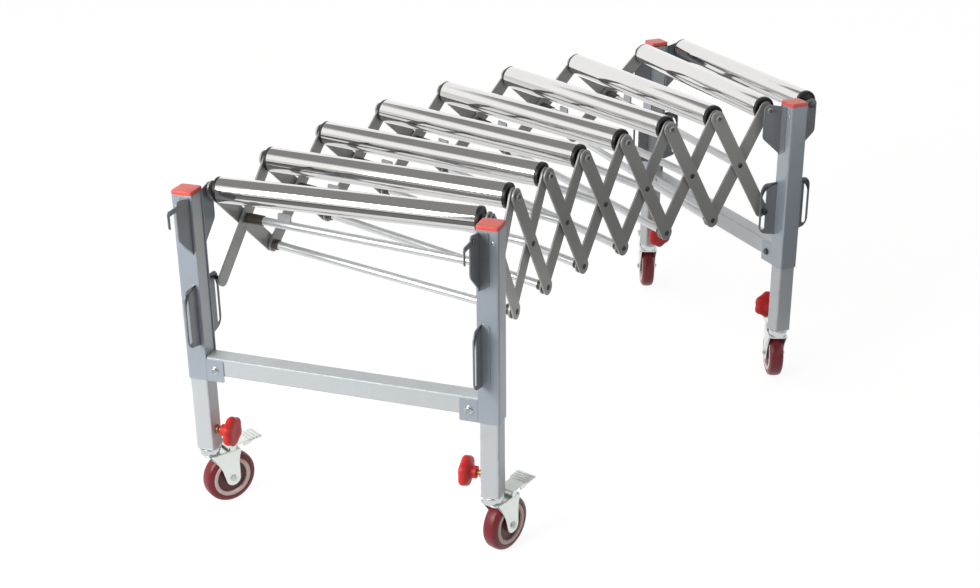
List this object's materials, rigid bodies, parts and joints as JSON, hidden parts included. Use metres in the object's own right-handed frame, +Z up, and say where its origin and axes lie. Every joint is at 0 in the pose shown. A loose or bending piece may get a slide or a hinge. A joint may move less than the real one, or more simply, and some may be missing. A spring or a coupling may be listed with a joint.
{
  "type": "extendable roller table",
  "caption": "Flexible scissor-lattice roller conveyor table on two caster-footed end frames, standing in a curve; it folds together lengthwise and its legs slide out.",
  "frame": {"origin": "on the floor, under the middle of the table's bounding box", "axes": "+X along the table from the near end with the hooks to the far end, +Y to the outside of the bend, +Z up"},
  "size_m": [1.6286, 0.7174, 0.6815],
  "materials": {
    "silver_paint": "light silver paint, satin gloss",
    "grey_coating": "blue-grey metallic coating, glossy",
    "link_grey": "mid grey metallic paint, semi-gloss",
    "roller_steel": "bright plated steel tube",
    "zinc_plate": "bright zinc plate",
    "red_plastic": "moulded red plastic, soft gloss",
    "maroon_tyre": "dark red polyurethane, satin"
  },
  "bodies": {
    "near_frame": {"near_crossbar": "silver_paint", "near_axle": "zinc_plate", "near_left_post": "grey_coating", "near_left_leg_tube": "silver_paint", "near_left_cap": "red_plastic", "near_right_post": "grey_coating", "near_right_leg_tube": "silver_paint", "near_right_cap": "red_plastic"},
    "far_frame": {"far_crossbar": "silver_paint", "far_axle": "zinc_plate", "far_left_post": "grey_coating", "far_left_leg_tube": "silver_paint", "far_left_cap": "red_plastic", "far_right_post": "grey_coating", "far_right_leg_tube": "silver_paint", "far_right_cap": "red_plastic"},
    "arm_b1": {"arm_b1": "link_grey"},
    "arm_a1": {"arm_a1": "link_grey"},
    "arm_b2": {"arm_b2": "link_grey"},
    "arm_a2": {"arm_a2": "link_grey"},
    "arm_b3": {"arm_b3": "link_grey"},
    "arm_a3": {"arm_a3": "link_grey"},
    "arm_b4": {"arm_b4": "link_grey"},
    "arm_a4": {"arm_a4": "link_grey"},
    "arm_b5": {"arm_b5": "link_grey"},
    "arm_a5": {"arm_a5": "link_grey"},
    "arm_b6": {"arm_b6": "link_grey"},
    "arm_a6": {"arm_a6": "link_grey"},
    "arm_b7": {"arm_b7": "link_grey"},
    "arm_a7": {"arm_a7": "link_grey"},
    "roller_1": {"roller_1": "roller_steel"},
    "roller_2": {"roller_2": "roller_steel"},
    "roller_3": {"roller_3": "roller_steel"},
    "roller_4": {"roller_4": "roller_steel"},
    "roller_5": {"roller_5": "roller_steel"},
    "roller_6": {"roller_6": "roller_steel"},
    "roller_7": {"roller_7": "roller_steel"},
    "roller_8": {"roller_8": "roller_steel"},
    "roller_9": {"roller_9": "roller_steel"},
    "near_left_inner_leg": {"near_left_inner_leg": "silver_paint"},
    "near_left_fork": {"near_left_fork": "zinc_plate"},
    "near_left_wheel": {"near_left_wheel": "maroon_tyre"},
    "near_left_pedal": {"near_left_pedal": "zinc_plate"},
    "near_left_knob": {"near_left_knob": "red_plastic"},
    "near_right_inner_leg": {"near_right_inner_leg": "silver_paint"},
    "near_right_fork": {"near_right_fork": "zinc_plate"},
    "near_right_wheel": {"near_right_wheel": "maroon_tyre"},
    "near_right_pedal": {"near_right_pedal": "zinc_plate"},
    "near_right_knob": {"near_right_knob": "red_plastic"},
    "far_left_inner_leg": {"far_left_inner_leg": "silver_paint"},
    "far_left_fork": {"far_left_fork": "zinc_plate"},
    "far_left_wheel": {"far_left_wheel": "maroon_tyre"},
    "far_left_pedal": {"far_left_pedal": "zinc_plate"},
    "far_left_knob": {"far_left_knob": "red_plastic"},
    "far_right_inner_leg": {"far_right_inner_leg": "silver_paint"},
    "far_right_fork": {"far_right_fork": "zinc_plate"},
    "far_right_wheel": {"far_right_wheel": "maroon_tyre"},
    "far_right_pedal": {"far_right_pedal": "zinc_plate"},
    "far_right_knob": {"far_right_knob": "red_plastic"}
  },
  "joints": [
    {"name": "lattice_fold", "type": "hinge", "parent": "near_frame", "child": "arm_b1", "pos_m": [-0.5615, -0.03611, 0.657], "axis": [-0.3957, 0.9184, 0], "range_deg": [0, 18]},
    {"name": "middle_pivot_1", "type": "hinge", "parent": "arm_b1", "child": "arm_a1", "pos_m": [-0.48443, -0.00809, 0.55359], "axis": [-0.3413, 0.9388, 0.0461], "range_deg": [-36, 0]},
    {"name": "top_pivot_2", "type": "hinge", "parent": "arm_a1", "child": "arm_b2", "pos_m": [-0.40737, 0.01993, 0.657], "axis": [-0.2865, 0.9581, 0], "range_deg": [0, 36.05]},
    {"name": "middle_pivot_2", "type": "hinge", "parent": "arm_b2", "child": "arm_a2", "pos_m": [-0.32757, 0.03882, 0.55359], "axis": [-0.2301, 0.9721, 0.0461], "range_deg": [-36, 0]},
    {"name": "top_pivot_3", "type": "hinge", "parent": "arm_a2", "child": "arm_b3", "pos_m": [-0.24778, 0.05771, 0.657], "axis": [-0.1735, 0.9848, 0], "range_deg": [0, 36.05]},
    {"name": "middle_pivot_3", "type": "hinge", "parent": "arm_b3", "child": "arm_a3", "pos_m": [-0.16633, 0.06722, 0.55359], "axis": [-0.1159, 0.9922, 0.0461], "range_deg": [-36, 0]},
    {"name": "top_pivot_4", "type": "hinge", "parent": "arm_a3", "child": "arm_b4", "pos_m": [-0.08489, 0.07673, 0.657], "axis": [-0.0581, 0.9983, 0], "range_deg": [0, 36.05]},
    {"name": "middle_pivot_4", "type": "hinge", "parent": "arm_b4", "child": "arm_a4", "pos_m": [-0.00289, 0.07673, 0.55359], "axis": [0, 0.9989, 0.0461], "range_deg": [-36, 0]},
    {"name": "top_pivot_5", "type": "hinge", "parent": "arm_a4", "child": "arm_b5", "pos_m": [0.07911, 0.07673, 0.657], "axis": [0.0581, 0.9983, 0], "range_deg": [0, 36.05]},
    {"name": "middle_pivot_5", "type": "hinge", "parent": "arm_b5", "child": "arm_a5", "pos_m": [0.16056, 0.06722, 0.55359], "axis": [0.1159, 0.9922, 0.0461], "range_deg": [-36, 0]},
    {"name": "top_pivot_6", "type": "hinge", "parent": "arm_a5", "child": "arm_b6", "pos_m": [0.24201, 0.05771, 0.657], "axis": [0.1735, 0.9848, 0], "range_deg": [0, 36.05]},
    {"name": "middle_pivot_6", "type": "hinge", "parent": "arm_b6", "child": "arm_a6", "pos_m": [0.3218, 0.03882, 0.55359], "axis": [0.2301, 0.9721, 0.0461], "range_deg": [-36, 0]},
    {"name": "top_pivot_7", "type": "hinge", "parent": "arm_a6", "child": "arm_b7", "pos_m": [0.4016, 0.01993, 0.657], "axis": [0.2865, 0.9581, 0], "range_deg": [0, 36.05]},
    {"name": "middle_pivot_7", "type": "hinge", "parent": "arm_b7", "child": "arm_a7", "pos_m": [0.47866, -0.00809, 0.55359], "axis": [0.3413, 0.9388, 0.0461], "range_deg": [-36, 0]},
    {"name": "far_frame_pivot", "type": "hinge", "parent": "arm_a7", "child": "far_frame", "pos_m": [0.55573, -0.03611, 0.657], "axis": [0.3957, 0.9184, 0], "range_deg": [0, 18.05]},
    {"name": "roller_1_spin", "type": "hinge", "parent": "near_frame", "child": "roller_1", "pos_m": [-0.5615, -0.03611, 0.657], "axis": [-0.3957, 0.9184, 0], "continuous": true},
    {"name": "roller_2_spin", "type": "hinge", "parent": "arm_a1", "child": "roller_2", "pos_m": [-0.40737, 0.01993, 0.657], "axis": [-0.2865, 0.9581, 0], "continuous": true},
    {"name": "roller_3_spin", "type": "hinge", "parent": "arm_a2", "child": "roller_3", "pos_m": [-0.24778, 0.05771, 0.657], "axis": [-0.1735, 0.9848, 0], "continuous": true},
    {"name": "roller_4_spin", "type": "hinge", "parent": "arm_a3", "child": "roller_4", "pos_m": [-0.08489, 0.07673, 0.657], "axis": [-0.0581, 0.9983, 0], "continuous": true},
    {"name": "roller_5_spin", "type": "hinge", "parent": "arm_a4", "child": "roller_5", "pos_m": [0.07911, 0.07673, 0.657], "axis": [0.0581, 0.9983, 0], "continuous": true},
    {"name": "roller_6_spin", "type": "hinge", "parent": "arm_a5", "child": "roller_6", "pos_m": [0.24201, 0.05771, 0.657], "axis": [0.1735, 0.9848, 0], "continuous": true},
    {"name": "roller_7_spin", "type": "hinge", "parent": "arm_a6", "child": "roller_7", "pos_m": [0.4016, 0.01993, 0.657], "axis": [0.2865, 0.9581, 0], "continuous": true},
    {"name": "roller_8_spin", "type": "hinge", "parent": "arm_a7", "child": "roller_8", "pos_m": [0.55573, -0.03611, 0.657], "axis": [0.3957, 0.9184, 0], "continuous": true},
    {"name": "roller_9_spin", "type": "hinge", "parent": "far_frame", "child": "roller_9", "pos_m": [0.65675, -0.07964, 0.657], "axis": [-0.3957, -0.9184, 0], "continuous": true},
    {"name": "near_left_leg_slide", "type": "slide", "parent": "near_frame", "child": "near_left_inner_leg", "axis": [0, 0, -1], "range_m": [0, 0.3]},
    {"name": "near_left_swivel", "type": "hinge", "parent": "near_left_inner_leg", "child": "near_left_fork", "pos_m": [-0.72973, 0.21534, 0], "axis": [0, 0, 1], "continuous": true},
    {"name": "near_left_roll", "type": "hinge", "parent": "near_left_fork", "child": "near_left_wheel", "pos_m": [-0.69424, 0.20928, 0.054], "axis": [0.1683, 0.9857, 0], "continuous": true},
    {"name": "near_left_brake", "type": "hinge", "parent": "near_left_fork", "child": "near_left_pedal", "pos_m": [-0.6903, 0.20861, 0.1222], "axis": [0.1683, 0.9857, 0], "range_deg": [0, 12]},
    {"name": "near_left_knob_turn", "type": "hinge", "parent": "near_frame", "child": "near_left_knob", "pos_m": [-0.72233, 0.19817, 0.173], "axis": [0.3957, -0.9184, 0], "continuous": true},
    {"name": "near_right_leg_slide", "type": "slide", "parent": "near_frame", "child": "near_right_inner_leg", "axis": [0, 0, -1], "range_m": [0, 0.3]},
    {"name": "near_right_swivel", "type": "hinge", "parent": "near_right_inner_leg", "child": "near_right_fork", "pos_m": [-0.49428, -0.33109, 0], "axis": [0, 0, 1], "continuous": true},
    {"name": "near_right_roll", "type": "hinge", "parent": "near_right_fork", "child": "near_right_wheel", "pos_m": [-0.45839, -0.32838, 0.054], "axis": [-0.0752, 0.9972, 0], "continuous": true},
    {"name": "near_right_brake", "type": "hinge", "parent": "near_right_fork", "child": "near_right_pedal", "pos_m": [-0.4544, -0.32808, 0.1222], "axis": [-0.0752, 0.9972, 0], "range_deg": [0, 12]},
    {"name": "near_right_knob_turn", "type": "hinge", "parent": "near_frame", "child": "near_right_knob", "pos_m": [-0.50168, -0.31392, 0.173], "axis": [-0.3957, 0.9184, 0], "continuous": true},
    {"name": "far_left_leg_slide", "type": "slide", "parent": "far_frame", "child": "far_left_inner_leg", "axis": [0, 0, -1], "range_m": [0, 0.3]},
    {"name": "far_left_swivel", "type": "hinge", "parent": "far_left_inner_leg", "child": "far_left_fork", "pos_m": [0.72396, 0.21534, 0], "axis": [0, 0, 1], "continuous": true},
    {"name": "far_left_roll", "type": "hinge", "parent": "far_left_fork", "child": "far_left_wheel", "pos_m": [0.75042, 0.23975, 0.054], "axis": [-0.678, 0.735, 0], "continuous": true},
    {"name": "far_left_brake", "type": "hinge", "parent": "far_left_fork", "child": "far_left_pedal", "pos_m": [0.75336, 0.24247, 0.1222], "axis": [-0.678, 0.735, 0], "range_deg": [0, 12]},
    {"name": "far_left_knob_turn", "type": "hinge", "parent": "far_frame", "child": "far_left_knob", "pos_m": [0.71656, 0.19817, 0.173], "axis": [-0.3957, -0.9184, 0], "continuous": true},
    {"name": "far_right_leg_slide", "type": "slide", "parent": "far_frame", "child": "far_right_inner_leg", "axis": [0, 0, -1], "range_m": [0, 0.3]},
    {"name": "far_right_swivel", "type": "hinge", "parent": "far_right_inner_leg", "child": "far_right_fork", "pos_m": [0.48851, -0.33109, 0], "axis": [0, 0, 1], "continuous": true},
    {"name": "far_right_roll", "type": "hinge", "parent": "far_right_fork", "child": "far_right_wheel", "pos_m": [0.51497, -0.30668, 0.054], "axis": [-0.678, 0.735, 0], "continuous": true},
    {"name": "far_right_brake", "type": "hinge", "parent": "far_right_fork", "child": "far_right_pedal", "pos_m": [0.51792, -0.30397, 0.1222], "axis": [-0.678, 0.735, 0], "range_deg": [0, 12]},
    {"name": "far_right_knob_turn", "type": "hinge", "parent": "far_frame", "child": "far_right_knob", "pos_m": [0.49591, -0.31392, 0.173], "axis": [0.3957, 0.9184, 0], "continuous": true}
  ],
  "couplings": [
    {"joint": "middle_pivot_1", "follows": "lattice_fold", "ratio": -1.9972},
    {"joint": "top_pivot_2", "follows": "lattice_fold", "ratio": 2},
    {"joint": "middle_pivot_2", "follows": "lattice_fold", "ratio": -1.9972},
    {"joint": "top_pivot_3", "follows": "lattice_fold", "ratio": 2},
    {"joint": "middle_pivot_3", "follows": "lattice_fold", "ratio": -1.9972},
    {"joint": "top_pivot_4", "follows": "lattice_fold", "ratio": 2},
    {"joint": "middle_pivot_4", "follows": "lattice_fold", "ratio": -1.9972},
    {"joint": "top_pivot_5", "follows": "lattice_fold", "ratio": 2},
    {"joint": "middle_pivot_5", "follows": "lattice_fold", "ratio": -1.9972},
    {"joint": "top_pivot_6", "follows": "lattice_fold", "ratio": 2},
    {"joint": "middle_pivot_6", "follows": "lattice_fold", "ratio": -1.9972},
    {"joint": "top_pivot_7", "follows": "lattice_fold", "ratio": 2},
    {"joint": "middle_pivot_7", "follows": "lattice_fold", "ratio": -1.9972},
    {"joint": "far_frame_pivot", "follows": "lattice_fold", "ratio": 1}
  ]
}
